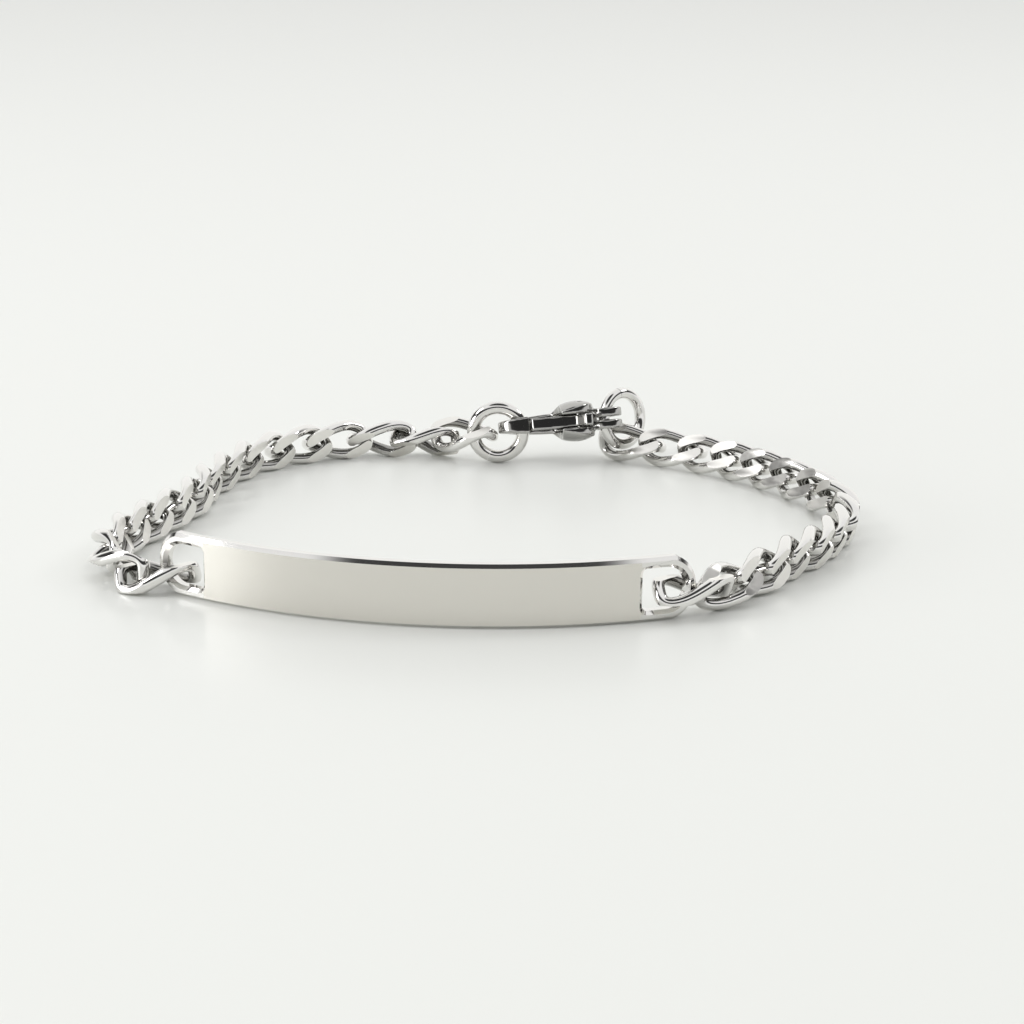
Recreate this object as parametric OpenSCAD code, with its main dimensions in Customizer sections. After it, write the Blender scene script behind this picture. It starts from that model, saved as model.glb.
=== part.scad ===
// Identity bracelet, clasped and standing on its edge as a whole loop.
// A curved plate with a D-shaped eye at each end carries two curb chains,
// which a lobster clasp and two jump rings close at the back. Millimetres, +Z up.

/* [Plate] */
// Length of the plate along its outer face, with both eyes
plate_length = 52; // [50:0.5:54]
// Height of the plate
plate_height = 6; // [5.8:0.1:6.2]
// Thickness of the plate
plate_thickness = 1.3; // [1.2:0.1:1.4]
// Radius of the plate's outer face
plate_radius = 50.6; // [50:0.2:52]
// Length of each D-shaped eye, from its straight side to its round side
eye_length = 4.3; // [4.2:0.1:4.4]
// Width of the metal around each eye
eye_rim = 1.0; // [0.95:0.05:1.05]

/* [Chain] */
// Outer length of a link
link_length = 8.1; // [8:0.1:8.2]
// Outer width of a link
link_width = 4.1; // [4:0.1:4.2]
// Thickness of the links' wire
link_wire = 1.15; // [1.1:0.05:1.2]
// Thickness of the chain between its two filed faces
chain_thickness = 2.1; // [2:0.1:2.4]
// Twist of a link from its middle to each end, in degrees
link_twist = -60; // [-65:1:-55]

/* [Rings] */
// Outer diameter of the ring that the clasp's hook holds
hook_ring_d = 7; // [6.8:0.1:7.2]
// Wire of that ring
hook_ring_wire = 1.45; // [1.3:0.05:1.5]
// Outer diameter of the ring in the clasp's tail
tail_ring_d = 7; // [6.8:0.1:7.2]
// Wire of that ring
tail_ring_wire = 1.25; // [1.1:0.05:1.3]

/* [Clasp] */
// Length of the clasp from its nose to its tail
clasp_length = 14; // [13.8:0.1:14.2]
// Width of the clasp across its cheeks
clasp_width = 6; // [5.8:0.1:6.2]
// Thickness of the clasp at its cheeks
clasp_thickness = 4.6; // [4.4:0.1:4.8]
// Thickness of the clasp at its claw
claw_thickness = 2.4; // [2.3:0.1:2.5]
// Thickness of the lever between the cheeks
lever_thickness = 1.3; // [1.2:0.1:1.4]
// Radius of the rivet that the lever turns on
rivet_r = 0.45; // [0.4:0.05:0.5]

/* [Hidden] */
// The loop's places are measured from the middle of the plate's outer face
origin = [3.68, 31.06];
link_stations = 16;
wire_sides = 6;
oval = 0.7;

// Each chain follows a smooth line through these places: across, back, outward lean in degrees.
// Every second link sits at one of them.
left_line = [
    [-25.6, 7.2, 75],
    [-30.6, 12.2, 38],
    [-29.8, 20.2, 12],
    [-27.5, 28.8, 6],
    [-26.7, 38.1, -10],
    [-23.6, 47.3, -7],
    [-16.7, 53.6, -8],
    [-7.0, 56.1, -40],
    [2.0, 55.9, -90],
];
right_line = [
    [16.8, 58.2, 50],
    [25.0, 54.0, 43],
    [31.5, 48.6, 34],
    [36.7, 41.3, 30],
    [39.0, 33.0, 9],
    [36.8, 24.6, 9],
    [32.6, 17.4, 8],
    [27.8, 9.8, -20],
    [22.4, 5.2, -85],
];

// The links by the plate and the rings hang in them, each at a place of its own:
// across, back, up, heading, lean and pitch in degrees
left_start = [
    [-24.9, 6.55, 1.45, 186, 87.5, -6.5],
    [-28.8, 8.4, 1.7, 141, 57.5, -0.5],
    [-30.75, 12.3, 1.95, 107, 40.5, 1],
    [-30.7, 16.3, 2.05, 85.5, 23, 1],
    [-29.8, 20.2, 2.05, 75, 12, 0],
];
left_end = [
    [-16.7, 53.6, 2, 27, -8, 0],
    [-11.9, 55.25, 2, 7.5, -27, 1.5],
    [-7.05, 55.75, 1.8, 6, -55, -3.5],
    [-2.65, 55.35, 3, -17, -119, 7.5],
];
right_start = [
    [16.15, 57.9, 1.9, -21, 47, 1],
    [20.8, 56.2, 1.9, -20.5, 43, 0],
    [25, 54, 1.9, -30, 43, 0],
];
right_end = [
    [32.6, 17.4, 2, -120, 8, 0],
    [30.3, 13.65, 2, -126, -10.5, 0],
    [27.45, 9.9, 2, -131.5, -35.5, -0.5],
    [24.5, 7.05, 2.5, 209.5, -96, 1.5],
];
left_links = 16;
right_links = 16;

LEFT = [for (k = [1:left_links]) str("link_left_", k)];
RIGHT = [for (k = [1:right_links]) str("link_right_", k)];

function degrees_along(s) = s / plate_radius * 180 / PI;

// Point at u on the smooth line through the rows of p
function smooth(p, u) =
    let (
        n = len(p),
        i = min(floor(u), n - 2),
        t = u - i,
        a = p[max(i - 1, 0)],
        b = p[i],
        c = p[i + 1],
        d = p[min(i + 2, n - 1)]
    )
    0.5 * (2 * b + (c - a) * t + (2 * a - 5 * b + 4 * c - d) * t * t
        + (3 * b - a - 3 * c + d) * t * t * t);

function heading(p, u) =
    let (v = smooth(p, u + 0.02) - smooth(p, u - 0.02)) atan2(v[1], v[0]);

// A link's wire follows a long oval whose plane turns steadily along the link
function power(v) = sign(v) * pow(abs(v), oval);
function link_middle(t) =
    let (
        a = (link_length - link_wire) / 2,
        b = (link_width - link_wire) / 2,
        x = a * power(cos(t)),
        r = b * power(sin(t)),
        turn = -link_twist * x / a
    )
    [x, r * sin(turn), r * cos(turn)];
function unit(v) = v / norm(v);
function link_ring(t) =
    let (
        m = link_middle(t),
        along = unit(link_middle(t + 4) - link_middle(t - 4)),
        out = unit(m - along * (m * along)),
        side = cross(along, out)
    )
    [for (j = [0:wire_sides - 1])
        let (
            g = (j + 0.5) * 360 / wire_sides,
            p = m + link_wire / 2 * (cos(g) * out + sin(g) * side)
        )
        [p[0], max(-chain_thickness / 2, min(chain_thickness / 2, p[1])), p[2]]];
LINK_POINTS = [for (k = [0:link_stations - 1]) each link_ring((k + 0.5) * 360 / link_stations)];
LINK_FACES = [
    for (k = [0:link_stations - 1], j = [0:wire_sides - 1])
        let (
            k2 = (k + 1) % link_stations,
            j2 = (j + 1) % wire_sides,
            a = k * wire_sides + j,
            b = k * wire_sides + j2,
            c = k2 * wire_sides + j2,
            d = k2 * wire_sides + j
        )
        each [[a, c, b], [a, d, c]]
];

// Height of a leaning link's middle when its lowest point touches the table
function standing(lean) =
    -min([for (p = LINK_POINTS) -sin(lean) * p[1] + cos(lean) * p[2]]);

module link() {
    color("silver") polyhedron(points = LINK_POINTS, faces = LINK_FACES, convexity = 6);
}

// Link k of a chain that stands on its line
module link_on_line(line, k) {
    u = k / 2;
    place = smooth(line, u);
    translate([place[0] - origin[0], place[1] - origin[1], standing(place[2])])
        rotate([0, 0, heading(line, u)])
            rotate([-place[2], 0, 0])
                link();
}

// Link at a place of its own
module link_hanging(place) {
    translate([place[0] - origin[0], place[1] - origin[1], place[2]])
        rotate([0, -place[5], place[3]])
            rotate([-place[4], 0, 0])
                link();
}

module chain_link(line, start, end, count, k) {
    from_end = k - (count - len(end));
    if (k < len(start)) link_hanging(start[k]);
    else if (from_end >= 0) link_hanging(end[from_end]);
    else link_on_line(line, k);
}

module link_left(k) {
    chain_link(left_line, left_start, left_end, left_links, k);
}

module link_right(k) {
    chain_link(right_line, right_start, right_end, right_links, k);
}

module on_plate(s) {
    translate([-origin[0], plate_radius - origin[1], 0])
        rotate([90, 0, degrees_along(s)])
            children();
}

// Eye seen from the front, its straight side towards -X
module eye_outline() {
    half = plate_height / 2 - eye_rim;
    corner = 0.5;
    flat = eye_length - half;
    hull() {
        intersection() {
            circle(r = half, $fn = 64);
            translate([0, -half]) square([half, 2 * half]);
        }
        for (z = [-1, 1]) translate([-flat + corner, z * (half - corner)]) circle(r = corner, $fn = 32);
    }
}

end_radius = 3.15;

// What rounding takes off the plate's end, the end towards +X
module end_corners() {
    difference() {
        translate([0, -plate_height]) square([2 * end_radius, 2 * plate_height]);
        translate([plate_height / 2 - end_radius, 0]) circle(r = end_radius, $fn = 64);
    }
}

module plate() {
    end_r = plate_height / 2;
    eye_s = plate_length / 2 - end_r;
    reach = degrees_along(plate_length / 2) + 1;
    cut = 4;
    color("gainsboro") difference() {
        translate([-origin[0], plate_radius - origin[1], 0])
            linear_extrude(plate_height)
                intersection() {
                    difference() {
                        circle(r = plate_radius, $fn = 200);
                        circle(r = plate_radius - plate_thickness, $fn = 200);
                    }
                    polygon([
                        [0, 0],
                        [-2 * plate_radius * sin(reach), -2 * plate_radius * cos(reach)],
                        [2 * plate_radius * sin(reach), -2 * plate_radius * cos(reach)],
                    ]);
                }
        for (side = [0, 1])
            on_plate((2 * side - 1) * eye_s)
                translate([0, end_r, plate_radius - cut])
                    rotate([0, 0, 180 - 180 * side])
                        linear_extrude(2 * cut) {
                            eye_outline();
                            end_corners();
                        }
    }
}

module torus(outer_d, wire) {
    rotate_extrude($fn = 64)
        translate([(outer_d - wire) / 2, 0]) circle(d = wire, $fn = 32);
}

// Place of the ring's middle, its turn about the vertical and its lean
hook_ring_place = [1.29, 55.22];
hook_ring_turn = 5;
hook_ring_lean = -2;
tail_ring_place = [14.95, 59.3, 4.58];
tail_ring_turn = 49;
tail_ring_lean = -10;

module ring_hook() {
    lift = cos(hook_ring_lean) * (hook_ring_d - hook_ring_wire) / 2 + hook_ring_wire / 2;
    color("silver")
        translate([hook_ring_place[0] - origin[0], hook_ring_place[1] - origin[1], lift])
            rotate([90 + hook_ring_lean, 0, hook_ring_turn])
                torus(hook_ring_d, hook_ring_wire);
}

module ring_tail() {
    color("silver")
        translate([tail_ring_place[0] - origin[0], tail_ring_place[1] - origin[1], tail_ring_place[2]])
            rotate([90 + tail_ring_lean, 0, tail_ring_turn])
                torus(tail_ring_d, tail_ring_wire);
}

// The clasp's own frame: nose towards -X, gate side towards -Y and rolled a little upwards,
// middle of the thickness at z = 0
clasp_place = [8.14, 56.33, 4.57];
clasp_turn = 11.3;
clasp_rise = 4.8;
clasp_roll = 17;
nose_x = -4.9;
nose_r = 2.1;
tail_r = 1.8;
tail_x = clasp_length + nose_x - nose_r - tail_r;
tail_hole_r = 1;
tail_thickness = 2.4;
tail_slit = 0.35;
slot_height = 1.5;
slot_length = 7.2;
slot_depth = 1;
pivot = [2.2, -0.9];
lever_tip = [-3, -1.7];
lever_nub = [2.9, -3.2];
running = 0.05;
cheek_curve = 4.4;
cheek_middle = [1.7, -0.4];
claw_curve = 60;

module clasp_frame() {
    translate([clasp_place[0] - origin[0], clasp_place[1] - origin[1], clasp_place[2]])
        rotate([-clasp_roll, -clasp_rise, clasp_turn])
            children();
}

// Claw seen from above: a long drop with its hole, the gate side cut open
module claw_outline() {
    w = clasp_width / 2;
    difference() {
        union() {
            translate([0.8, 0]) circle(r = w, $fn = 64);
            hull() {
                translate([nose_x, 0.1]) circle(r = nose_r, $fn = 32);
                translate([0.8, 0.4]) circle(r = w - 0.4, $fn = 32);
            }
        }
        hull() {
            translate([-4.4, -0.1]) circle(r = 1.25, $fn = 32);
            translate([-1.4, -0.1]) circle(r = 1.3, $fn = 32);
        }
    }
}

// An outline made solid, its two faces domed about a middle
module domed(thickness, curve, middle) {
    intersection() {
        translate([0, 0, -thickness / 2]) linear_extrude(thickness) children();
        intersection_for (side = [-1, 1])
            translate([middle[0], middle[1], side * (curve - thickness / 2)])
                sphere(r = curve, $fn = 96);
    }
}

module clasp_body() {
    color("silver") clasp_frame() difference() {
        union() {
            domed(claw_thickness, claw_curve, [1.2, 0]) claw_outline();
            domed(clasp_thickness, cheek_curve, cheek_middle) intersection() {
                claw_outline();
                translate([-1.6, -4]) square([8, 8]);
            }
            translate([tail_x, 0, -tail_thickness / 2]) cylinder(r = tail_r, h = tail_thickness, $fn = 48);
        }
        // hole for the ring
        translate([tail_x, 0, -3]) cylinder(r = tail_hole_r, h = 6, $fn = 32);
        // slit that parts the tail into two leaves
        translate([tail_x - 1.2, -3, -tail_slit / 2]) cube([4, 6, tail_slit]);
        // slot of the lever, open on the gate side and into the claw
        translate([-3.6, -4, -slot_height / 2]) cube([slot_length, 4 + slot_depth, slot_height]);
        // gap of the gate
        translate([-3.6, -4, -3]) cube([3.6, 3.8, 6]);
        // hole for the rivet
        translate([pivot[0], pivot[1], -3]) cylinder(r = rivet_r + 0.02, h = 6, $fn = 32);
    }
}

module clasp_lever() {
    color("silver") clasp_frame() difference() {
        translate([0, 0, -lever_thickness / 2]) linear_extrude(lever_thickness) {
            hull() {
                translate(pivot) circle(r = 1, $fn = 32);
                translate(lever_tip) circle(r = 0.4, $fn = 32);
            }
            hull() {
                translate(pivot) circle(r = 0.9, $fn = 32);
                translate(lever_nub) circle(r = 0.55, $fn = 32);
            }
        }
        translate([pivot[0], pivot[1], -3]) cylinder(r = rivet_r + running, h = 6, $fn = 32);
    }
}

module clasp_rivet() {
    color("silver") clasp_frame()
        translate([pivot[0], pivot[1], -clasp_thickness / 2 + 0.1])
            cylinder(r = rivet_r, h = clasp_thickness - 0.2, $fn = 32);
}

plate();
ring_hook();
ring_tail();
clasp_body();
clasp_lever();
clasp_rivet();
for (k = [1:left_links]) link_left(k - 1);
for (k = [1:right_links]) link_right(k - 1);
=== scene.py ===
import math
import bpy
import bmesh
from mathutils import Matrix, Vector


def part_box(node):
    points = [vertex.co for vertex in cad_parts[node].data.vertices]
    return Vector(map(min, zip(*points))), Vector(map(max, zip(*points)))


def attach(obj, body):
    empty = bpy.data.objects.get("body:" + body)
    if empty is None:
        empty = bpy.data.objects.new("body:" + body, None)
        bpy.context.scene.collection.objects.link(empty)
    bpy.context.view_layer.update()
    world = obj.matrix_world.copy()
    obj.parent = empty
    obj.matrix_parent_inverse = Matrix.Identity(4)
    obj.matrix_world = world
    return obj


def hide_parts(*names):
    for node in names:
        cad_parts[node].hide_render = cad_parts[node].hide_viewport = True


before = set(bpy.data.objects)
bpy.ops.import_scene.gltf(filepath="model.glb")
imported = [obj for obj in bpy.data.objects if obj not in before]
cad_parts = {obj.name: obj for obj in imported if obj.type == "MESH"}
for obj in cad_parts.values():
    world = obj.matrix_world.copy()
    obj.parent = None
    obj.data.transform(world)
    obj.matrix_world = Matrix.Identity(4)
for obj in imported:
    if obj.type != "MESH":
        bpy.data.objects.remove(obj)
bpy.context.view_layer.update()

# Camera: in front of the plate and a little above it, as the photograph was taken, with a long lens
# that shows the loop almost without perspective.
camera = bpy.data.cameras.new("camera")
camera.lens = 77.34
camera.sensor_width = 36
camera.clip_start = 0.01
camera_object = bpy.data.objects.new("camera", camera)
bpy.context.scene.collection.objects.link(camera_object)
turn = Matrix.Rotation(math.radians(5.84), 4, "Z")
tilt = Matrix.Rotation(math.radians(73), 4, "X")
roll = Matrix.Rotation(math.radians(0.87), 4, "Z")
camera_object.matrix_world = Matrix.Translation((0.02357, -0.213, 0.06706)) @ turn @ tilt @ roll
bpy.context.scene.camera = camera_object

# Plate: a strip of stainless steel with rounded ends, a D-shaped eye punched in each for the chain, and
# chamfered edges. It is polished all over and then brushed along its length between the eyes, inside and
# out, and it is bent to the curve of the wrist. Sizes are in millimetres.
polished = bpy.data.materials.new("polished_steel")
polished.use_nodes = True
tree = polished.node_tree
shader = tree.nodes["Principled BSDF"]
shader.inputs["Base Color"].default_value = (0.8, 0.79, 0.77, 1)
shader.inputs["Metallic"].default_value = 1
coordinates = tree.nodes.new("ShaderNodeTexCoord")
wheel_marks = tree.nodes.new("ShaderNodeTexNoise")
wheel_marks.inputs["Scale"].default_value = 900
wheel_marks.inputs["Detail"].default_value = 4
gloss = tree.nodes.new("ShaderNodeMapRange")
gloss.inputs["To Min"].default_value = 0.05
gloss.inputs["To Max"].default_value = 0.12
tree.links.new(coordinates.outputs["Object"], wheel_marks.inputs["Vector"])
tree.links.new(wheel_marks.outputs["Fac"], gloss.inputs["Value"])
tree.links.new(gloss.outputs["Result"], shader.inputs["Roughness"])

brushed = bpy.data.materials.new("brushed_steel")
brushed.use_nodes = True
tree = brushed.node_tree
shader = tree.nodes["Principled BSDF"]
shader.inputs["Base Color"].default_value = (0.76, 0.74, 0.69, 1)
shader.inputs["Metallic"].default_value = 1
coordinates = tree.nodes.new("ShaderNodeTexCoord")
stretch = tree.nodes.new("ShaderNodeMapping")
stretch.inputs["Scale"].default_value = (1, 1, 40)
hairlines = tree.nodes.new("ShaderNodeTexNoise")
hairlines.inputs["Scale"].default_value = 260
hairlines.inputs["Detail"].default_value = 8
hairlines.inputs["Roughness"].default_value = 0.7
sheen = tree.nodes.new("ShaderNodeMapRange")
sheen.inputs["To Min"].default_value = 0.26
sheen.inputs["To Max"].default_value = 0.38
scored = tree.nodes.new("ShaderNodeBump")
scored.inputs["Strength"].default_value = 0.08
scored.inputs["Distance"].default_value = 0.00002
tree.links.new(coordinates.outputs["Object"], stretch.inputs["Vector"])
tree.links.new(stretch.outputs["Vector"], hairlines.inputs["Vector"])
tree.links.new(hairlines.outputs["Fac"], sheen.inputs["Value"])
tree.links.new(sheen.outputs["Result"], shader.inputs["Roughness"])
tree.links.new(hairlines.outputs["Fac"], scored.inputs["Height"])
tree.links.new(scored.outputs["Normal"], shader.inputs["Normal"])

corner_x, corner_y = 3.68, 31.06
plate_length = 52
plate_height = 6
plate_thickness = 1.3
plate_radius = 50.6
end_radius = 3.15
eye_length = 4.3
eye_half = 2
eye_corner = 0.5
chamfer = 0.32
end_middle = plate_length / 2 - end_radius
end_angle = math.asin(plate_height / 2 / end_radius)
eye_middle = plate_length / 2 - plate_height / 2
eye_flat = eye_middle - eye_length + eye_half
plate_mesh = bmesh.new()
outer = []
corners = []
for side in (1, -1):
    for middle, radius, half_turn in ((end_middle, end_radius, end_angle),
                                      (eye_middle, eye_half, math.pi / 2)):
        first = plate_mesh.verts.new((side * (middle + radius * math.cos(half_turn)),
                                      -side * radius * math.sin(half_turn), 0))
        arc = bmesh.ops.spin(plate_mesh, geom=[first], cent=(side * middle, 0, 0), axis=(0, 0, 1),
                             angle=2 * half_turn, steps=32)
        last = [g for g in arc["geom_last"] if isinstance(g, bmesh.types.BMVert)][0]
        if middle == end_middle:
            outer += [first, last]
        else:
            pair = [plate_mesh.verts.new((side * eye_flat, side * y, 0)) for y in (eye_half, -eye_half)]
            for a, b in ((last, pair[0]), (pair[0], pair[1]), (pair[1], first)):
                plate_mesh.edges.new((a, b))
            corners += pair
plate_mesh.edges.new((outer[1], outer[2]))
plate_mesh.edges.new((outer[3], outer[0]))
bmesh.ops.bevel(plate_mesh, geom=corners, offset=eye_corner, segments=8, profile=0.5, material=-1,
                affect="VERTICES")
bmesh.ops.triangle_fill(plate_mesh, edges=plate_mesh.edges[:], use_beauty=True)
bmesh.ops.recalc_face_normals(plate_mesh, faces=plate_mesh.faces[:])
if plate_mesh.faces[:][0].normal.z > 0:
    bmesh.ops.reverse_faces(plate_mesh, faces=plate_mesh.faces[:])
raised = bmesh.ops.extrude_face_region(plate_mesh, geom=plate_mesh.faces[:])
bmesh.ops.translate(plate_mesh, verts=[g for g in raised["geom"] if isinstance(g, bmesh.types.BMVert)],
                    vec=(0, 0, plate_thickness))
bmesh.ops.recalc_face_normals(plate_mesh, faces=plate_mesh.faces[:])
rims = [e for e in plate_mesh.edges if len(e.link_faces) == 2 and e.calc_face_angle() > math.radians(60)]
bmesh.ops.bevel(plate_mesh, geom=rims, offset=chamfer, segments=1, profile=0.5, material=-1,
                affect="EDGES")
slice_width = 0.5
for k in range(-50, 51):
    everything = plate_mesh.verts[:] + plate_mesh.edges[:] + plate_mesh.faces[:]
    bmesh.ops.bisect_plane(plate_mesh, geom=everything, dist=1e-5, plane_co=(k * slice_width, 0, 0),
                           plane_no=(1, 0, 0))
for f in plate_mesh.faces:
    f.smooth = True
    f.material_index = 1 if abs(f.normal.z) > 0.99 and abs(f.calc_center_median().x) < eye_flat else 0
for v in plate_mesh.verts:
    a = v.co.x / plate_radius
    r = plate_radius - plate_thickness + v.co.z
    v.co = Vector((r * math.sin(a) - corner_x, plate_radius - r * math.cos(a) - corner_y,
                   v.co.y + plate_height / 2)) / 1000
bmesh.ops.recalc_face_normals(plate_mesh, faces=plate_mesh.faces[:])
plate_data = bpy.data.meshes.new("plate_dressed")
plate_mesh.to_mesh(plate_data)
plate_mesh.free()
plate_data.materials.append(polished)
plate_data.materials.append(brushed)
plate_data.set_sharp_from_angle(angle=math.radians(32))
plate = bpy.data.objects.new("plate_dressed", plate_data)
bpy.context.scene.collection.objects.link(plate)
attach(plate, "bracelet")
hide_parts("plate")

# Chain: two runs of sixteen curb links. Each link is a turn of round steel wire, joined through its
# neighbour, twisted a sixth of a turn and filed flat on both sides, so its flats are satin. Its wire is
# polished, and its colour is darkened towards the inside of the link: painted shade for the crevices
# between links.
drawn = polished.copy()
drawn.name = "drawn_steel_painted_shade"
tree = drawn.node_tree
# Painted shade: the base colour darkens from the outside of the wire to the inside of the link, standing
# for the shade between the links.
inner_side = tree.nodes.new("ShaderNodeAttribute")
inner_side.attribute_name = "inner_side"
painted_shade_ramp = tree.nodes.new("ShaderNodeValToRGB")
painted_shade_ramp.color_ramp.elements[0].position = 0
painted_shade_ramp.color_ramp.elements[0].color = (0.82, 0.81, 0.79, 1)
painted_shade_ramp.color_ramp.elements[1].position = 0.7
painted_shade_ramp.color_ramp.elements[1].color = (0.34, 0.335, 0.32, 1)
tree.links.new(inner_side.outputs["Fac"], painted_shade_ramp.inputs["Fac"])
tree.links.new(painted_shade_ramp.outputs["Color"], tree.nodes["Principled BSDF"].inputs["Base Color"])

filed = bpy.data.materials.new("filed_steel")
filed.use_nodes = True
tree = filed.node_tree
shader = tree.nodes["Principled BSDF"]
shader.inputs["Base Color"].default_value = (0.88, 0.865, 0.83, 1)
shader.inputs["Metallic"].default_value = 1
coordinates = tree.nodes.new("ShaderNodeTexCoord")
scratches = tree.nodes.new("ShaderNodeTexNoise")
scratches.inputs["Scale"].default_value = 2600
scratches.inputs["Detail"].default_value = 6
dulled = tree.nodes.new("ShaderNodeMapRange")
dulled.inputs["To Min"].default_value = 0.22
dulled.inputs["To Max"].default_value = 0.42
scored = tree.nodes.new("ShaderNodeBump")
scored.inputs["Strength"].default_value = 0.12
scored.inputs["Distance"].default_value = 0.00002
tree.links.new(coordinates.outputs["Object"], scratches.inputs["Vector"])
tree.links.new(scratches.outputs["Fac"], dulled.inputs["Value"])
tree.links.new(dulled.outputs["Result"], shader.inputs["Roughness"])
tree.links.new(scratches.outputs["Fac"], scored.inputs["Height"])
tree.links.new(scored.outputs["Normal"], shader.inputs["Normal"])

link_length = 8.1
link_width = 4.36
link_wire = 1.27
link_band = 1.17
chain_thickness = 2.1
link_twist = math.radians(-60)
oval = 0.62
half_length = (link_length - link_band) / 2
half_width = (link_width - link_band) / 2


def wire_middle(t):
    x = half_length * math.copysign(abs(math.cos(t)) ** oval, math.cos(t))
    r = half_width * math.copysign(abs(math.sin(t)) ** oval, math.sin(t))
    a = -link_twist * x / half_length
    return Vector((x, r * math.sin(a), r * math.cos(a)))


stations = 80
nearby = 0.03
link_mesh = bmesh.new()
# inner_side: how far each point of the wire faces the inside of its link; the wire's material paints
# shade by it.
inner = link_mesh.verts.layers.float.new("inner_side")
wire_rings = []
for k in range(stations):
    t = (k + 0.5) * math.tau / stations
    middle = wire_middle(t)
    along = (wire_middle(t + nearby) - wire_middle(t - nearby)).normalized()
    out = (middle - along * middle.dot(along)).normalized()
    across = along.cross(out)
    section = Matrix((out * link_band / 2, across * link_wire / 2, along)).transposed().to_4x4()
    ring = bmesh.ops.create_circle(link_mesh, segments=20, radius=1,
                                   matrix=Matrix.Translation(middle) @ section)
    for v in ring["verts"]:
        v[inner] = (middle - v.co).normalized().dot(out)
    wire_rings.append(list({e for v in ring["verts"] for e in v.link_edges}))
for a, b in zip(wire_rings, wire_rings[1:] + wire_rings[:1]):
    bmesh.ops.bridge_loops(link_mesh, edges=a + b)
bmesh.ops.recalc_face_normals(link_mesh, faces=link_mesh.faces[:])
for f in link_mesh.faces:
    f.smooth = True
for side in (-1, 1):
    everything = link_mesh.verts[:] + link_mesh.edges[:] + link_mesh.faces[:]
    cut = bmesh.ops.bisect_plane(link_mesh, geom=everything, dist=1e-5, clear_outer=True,
                                 plane_co=(0, side * chain_thickness / 2, 0), plane_no=(0, side, 0))
    rim = [e for e in cut["geom_cut"] if isinstance(e, bmesh.types.BMEdge)]
    filled = bmesh.ops.holes_fill(link_mesh, edges=rim, sides=0)
    for f in filled["faces"]:
        f.material_index = 1
        f.smooth = False
link_data = bpy.data.meshes.new("link_shape")
link_mesh.to_mesh(link_data)
link_mesh.free()
link_data.materials.append(drawn)
link_data.materials.append(filed)

# Places of the links: each chain follows a smooth line with a point at every second link, and the links
# near the plate and the rings, which hang at angles of their own, have their places one by one.
# Columns of the lines: across, back, lean. Columns of the rest: across, back, up, heading, lean, pitch.
left_line = [
    (-25.6, 7.2, 75), (-30.6, 12.2, 38), (-29.8, 20.2, 12), (-27.5, 28.8, 6), (-26.7, 38.1, -10),
    (-23.6, 47.3, -7), (-16.7, 53.6, -8), (-7.0, 56.1, -40), (2.0, 55.9, -90),
]
right_line = [
    (16.8, 58.2, 50), (25.0, 54.0, 43), (31.5, 48.6, 34), (36.7, 41.3, 30), (39.0, 33.0, 9),
    (36.8, 24.6, 9), (32.6, 17.4, 8), (27.8, 9.8, -20), (22.4, 5.2, -85),
]
left_start = [
    (-24.9, 6.55, 1.45, 186, 87.5, -6.5), (-28.8, 8.4, 1.7, 141, 57.5, -0.5),
    (-30.75, 12.3, 1.95, 107, 40.5, 1), (-30.7, 16.3, 2.05, 85.5, 23, 1), (-29.8, 20.2, 2.05, 75, 12, 0),
]
left_end = [
    (-16.7, 53.6, 2, 27, -8, 0), (-11.9, 55.25, 2, 7.5, -27, 1.5), (-7.05, 55.75, 1.8, 6, -55, -3.5),
    (-2.65, 55.35, 3, -17, -119, 7.5),
]
right_start = [
    (16.15, 57.9, 1.9, -21, 47, 1), (20.8, 56.2, 1.9, -20.5, 43, 0), (25, 54, 1.9, -30, 43, 0),
]
right_end = [
    (32.6, 17.4, 2, -120, 8, 0), (30.3, 13.65, 2, -126, -10.5, 0), (27.45, 9.9, 2, -131.5, -35.5, -0.5),
    (24.5, 7.05, 2.5, 209.5, -96, 1.5),
]


def smooth(line, u):
    i = min(int(u), len(line) - 2)
    t = u - i
    a, b, c, d = [Vector(line[max(0, min(len(line) - 1, i + n))]) for n in (-1, 0, 1, 2)]
    return 0.5 * (2 * b + (c - a) * t + (2 * a - 5 * b + 4 * c - d) * t * t
                  + (3 * b - a - 3 * c + d) * t ** 3)


links_in_run = 16
step = 0.02
for name, line, start, end in (("link_left", left_line, left_start, left_end),
                               ("link_right", right_line, right_start, right_end)):
    for k in range(links_in_run):
        if k < len(start):
            x, y, z, heading, lean, pitch = start[k]
        elif k >= links_in_run - len(end):
            x, y, z, heading, lean, pitch = end[k - links_in_run + len(end)]
        else:
            x, y, lean = smooth(line, k / 2)
            ahead = smooth(line, k / 2 + step) - smooth(line, k / 2 - step)
            heading = math.degrees(math.atan2(ahead.y, ahead.x))
            pitch = 0
            low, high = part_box(f"{name}_{k + 1}")
            z = (low.z + high.z) / 2 * 1000
        place = (Matrix.Scale(0.001, 4) @ Matrix.Translation((x - corner_x, y - corner_y, z))
                 @ Matrix.Rotation(math.radians(heading), 4, "Z")
                 @ Matrix.Rotation(math.radians(-pitch), 4, "Y")
                 @ Matrix.Rotation(math.radians(-lean), 4, "X"))
        link_placed = link_data.copy()
        link_placed.transform(place)
        # A link whose wire would sink into the floor is lifted onto it
        lowest = min(v.co.z for v in link_placed.vertices)
        link_placed.transform(Matrix.Translation((0, 0, max(0, -lowest))))
        link_placed.set_sharp_from_angle(angle=math.radians(35))
        link = bpy.data.objects.new(f"{name}_{k + 1}_wire", link_placed)
        bpy.context.scene.collection.objects.link(link)
        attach(link, "bracelet")
        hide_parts(f"{name}_{k + 1}")

# Rings: two jump rings of round polished steel wire, each bent to a circle with a fine cut where its
# ends meet. One joins the left chain to the clasp's hook, the other the clasp's tail to the right chain.
ring_diameter = 7
hook_wire = 1.45
tail_wire = 1.25
cut_width = 0.8
hook_lean = -2
hook_middle = math.cos(math.radians(hook_lean)) * (ring_diameter - hook_wire) / 2 + hook_wire / 2
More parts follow.
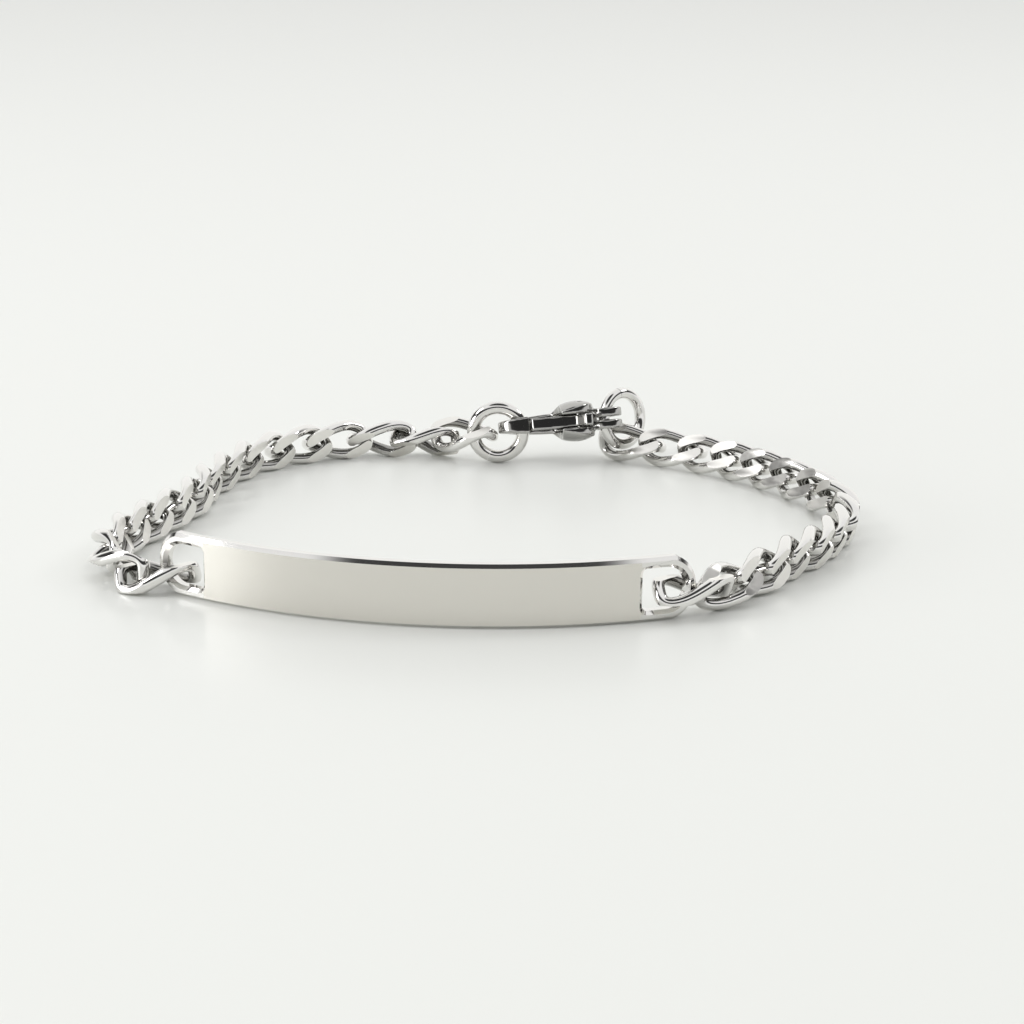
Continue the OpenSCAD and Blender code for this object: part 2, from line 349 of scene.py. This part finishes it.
# Columns: wire, place, heading, lean, angle of the cut
for name, wire, place, heading, lean, cut_at in (
        ("ring_hook", hook_wire, (1.29, 55.22, hook_middle), 5, hook_lean, 250),
        ("ring_tail", tail_wire, (14.95, 59.3, 4.58), 49, -10, 97)):
    ring_mesh = bmesh.new()
    section = (Matrix.Translation(((ring_diameter - wire) / 2, 0, 0))
               @ Matrix.Rotation(math.pi / 2, 4, "X"))
    bmesh.ops.create_circle(ring_mesh, segments=24, radius=wire / 2, cap_ends=True, matrix=section)
    bmesh.ops.rotate(ring_mesh, verts=ring_mesh.verts[:], cent=(0, 0, 0),
                     matrix=Matrix.Rotation(math.radians(cut_at), 3, "Z"))
    bmesh.ops.spin(ring_mesh, geom=ring_mesh.faces[:], cent=(0, 0, 0), axis=(0, 0, 1), steps=96,
                   angle=math.radians(360 - cut_width), use_duplicate=False)
    bmesh.ops.recalc_face_normals(ring_mesh, faces=ring_mesh.faces[:])
    for f in ring_mesh.faces:
        f.smooth = True
    ring_data = bpy.data.meshes.new(f"{name}_wire")
    ring_mesh.to_mesh(ring_data)
    ring_mesh.free()
    x, y, z = place
    ring_data.transform(Matrix.Scale(0.001, 4) @ Matrix.Translation((x - corner_x, y - corner_y, z))
                        @ Matrix.Rotation(math.radians(heading), 4, "Z")
                        @ Matrix.Rotation(math.radians(90 + lean), 4, "X"))
    ring_data.set_sharp_from_angle(angle=math.radians(50))
    ring_data.materials.append(polished)
    ring = bpy.data.objects.new(f"{name}_wire", ring_data)
    bpy.context.scene.collection.objects.link(ring)
    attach(ring, "bracelet")
    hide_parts(name)

# Clasp: a lobster claw cast in steel, a sprung lever between its cheeks and the rivet that the lever
# turns on. Tumbling has rolled its edges over; its steel is the polished one with a darker colour
# painted in, as painted shade for the dark reflections around the clasp.
# The cast shapes are the solids' own, gone over on a fine grid that follows the clasp.
cast = polished.copy()
cast.name = "cast_steel_painted_shade"
# Painted shade: the base colour is darkened to stand for the dark surroundings that the clasp reflects.
cast.node_tree.nodes["Principled BSDF"].inputs["Base Color"].default_value = (0.45, 0.445, 0.43, 1)
along_clasp = (Matrix.Translation(((8.14 - corner_x) / 1000, (56.33 - corner_y) / 1000, 0.00457))
               @ Matrix.Rotation(math.radians(11.3), 4, "Z")
               @ Matrix.Rotation(math.radians(-4.8), 4, "Y")
               @ Matrix.Rotation(math.radians(-17), 4, "X"))
# Columns: the solid, its body, the grid in millimetres, strokes of smoothing
for name, body, grid, strokes in (("clasp_body", "bracelet", 0.09, 24),
                                  ("clasp_lever", "lever", 0.07, 20),
                                  ("clasp_rivet", "bracelet", 0.05, 45)):
    clasp_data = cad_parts[name].data.copy()
    clasp_mesh = bmesh.new()
    clasp_mesh.from_mesh(clasp_data)
    bmesh.ops.remove_doubles(clasp_mesh, verts=clasp_mesh.verts[:], dist=2e-6)
    clasp_mesh.to_mesh(clasp_data)
    clasp_mesh.free()
    clasp_data.transform(along_clasp.inverted())
    piece = bpy.data.objects.new(f"{name}_polished", clasp_data)
    bpy.context.scene.collection.objects.link(piece)
    skin = piece.modifiers.new("skin", "REMESH")
    skin.mode = "VOXEL"
    skin.voxel_size = grid / 1000
    tumbled = piece.modifiers.new("tumbled", "SMOOTH")
    tumbled.factor = 0.5
    tumbled.iterations = strokes
    bpy.context.view_layer.update()
    smoothed = piece.evaluated_get(bpy.context.evaluated_depsgraph_get())
    finished = bpy.data.meshes.new_from_object(smoothed)
    piece.modifiers.clear()
    finished.transform(along_clasp)
    finished.materials.clear()
    finished.materials.append(cast)
    finished.shade_smooth()
    piece.data = finished
    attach(piece, body)
    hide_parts(name)

# Floor: a sheet of pale card with a faint gloss. The plate, the chain and the hook's ring stand on it.
floor_mesh = bmesh.new()
bmesh.ops.create_grid(floor_mesh, x_segments=2, y_segments=2, size=3)
floor_data = bpy.data.meshes.new("floor")
floor_mesh.to_mesh(floor_data)
floor_mesh.free()
card = bpy.data.materials.new("pale_card")
card.use_nodes = True
shader = card.node_tree.nodes["Principled BSDF"]
shader.inputs["Base Color"].default_value = (0.84, 0.85, 0.82, 1)
shader.inputs["Roughness"].default_value = 0.3
shader.inputs["Specular IOR Level"].default_value = 0.2
floor_data.materials.append(card)
floor = bpy.data.objects.new("floor", floor_data)
bpy.context.scene.collection.objects.link(floor)

# Light: the card ends in a dim room under a pale ceiling, with a lit backdrop behind the bracelet. The
# dark band above the horizon and a dark patch overhead give the polished steel its dark reflections.
room = bpy.data.worlds.new("room")
bpy.context.scene.world = room
room.use_nodes = True
tree = room.node_tree
background = tree.nodes["Background"]
background.inputs["Strength"].default_value = 0.95
direction = tree.nodes.new("ShaderNodeTexCoord")
parts = tree.nodes.new("ShaderNodeSeparateXYZ")
tree.links.new(direction.outputs["Generated"], parts.inputs[0])
band = tree.nodes.new("ShaderNodeValToRGB")
band.color_ramp.interpolation = "EASE"
band.color_ramp.elements[0].position = 0.16
band.color_ramp.elements[0].color = (1, 1, 1, 1)
band.color_ramp.elements[1].position = 0.22
band.color_ramp.elements[1].color = (0.05, 0.05, 0.05, 1)
for position, grey in ((0.5, 0.05), (0.64, 1)):
    stop = band.color_ramp.elements.new(position)
    stop.color = (grey, grey, grey, 1)
tree.links.new(parts.outputs["Z"], band.inputs["Fac"])
backdrop = tree.nodes.new("ShaderNodeMapRange")
backdrop.interpolation_type = "SMOOTHSTEP"
backdrop.inputs["From Min"].default_value = 0.4
backdrop.inputs["From Max"].default_value = 0.7
tree.links.new(parts.outputs["Y"], backdrop.inputs["Value"])
# The colour sockets of a mix node have no names of their own
colour_a, colour_b, colour_out = 6, 7, 2
lit = tree.nodes.new("ShaderNodeMix")
lit.data_type = "RGBA"
lit.inputs[colour_b].default_value = (1.1, 1.1, 1.08, 1)
tree.links.new(backdrop.outputs["Result"], lit.inputs["Factor"])
tree.links.new(band.outputs["Color"], lit.inputs[colour_a])
overhead = tree.nodes.new("ShaderNodeVectorMath")
overhead.operation = "DOT_PRODUCT"
overhead.inputs[1].default_value = Vector((0.02, -0.25, 0.97)).normalized()
tree.links.new(direction.outputs["Generated"], overhead.inputs[0])
patch = tree.nodes.new("ShaderNodeMapRange")
patch.interpolation_type = "SMOOTHSTEP"
patch.inputs["From Min"].default_value = 0.9
patch.inputs["From Max"].default_value = 0.95
patch.inputs["To Min"].default_value = 1
patch.inputs["To Max"].default_value = 0.06
tree.links.new(overhead.outputs["Value"], patch.inputs["Value"])
dimmed = tree.nodes.new("ShaderNodeMix")
dimmed.data_type = "RGBA"
dimmed.blend_type = "MULTIPLY"
dimmed.inputs["Factor"].default_value = 1
tree.links.new(lit.outputs[colour_out], dimmed.inputs[colour_a])
tree.links.new(patch.outputs["Result"], dimmed.inputs[colour_b])
tree.links.new(dimmed.outputs[colour_out], background.inputs["Color"])

# Lamps: three square ones for the glints and the bright left end of the plate, and a wide soft one
# overhead that lights the card and doesn't show in the steel. Columns: place, side of the square, power.
for name, place, width, power in (("left_light", (-0.54, -0.19, 0.48), 0.26, 0.9),
                                  ("right_light", (0.5, 0.25, 0.4), 0.12, 0.4),
                                  ("low_light", (-0.62, -0.33, 0.13), 0.3, 1.6),
                                  ("fill_light", (0, 0, 1.2), 1, 3)):
    lamp = bpy.data.lights.new(name, "AREA")
    lamp.size = width
    lamp.energy = power
    lamp_object = bpy.data.objects.new(name, lamp)
    bpy.context.scene.collection.objects.link(lamp_object)
    lamp_object.location = place
    lamp_object.rotation_euler = (-Vector(place)).to_track_quat("-Z", "Y").to_euler()
    lamp_object.visible_glossy = name != "fill_light"
bpy.context.scene.view_settings.view_transform = "Standard"
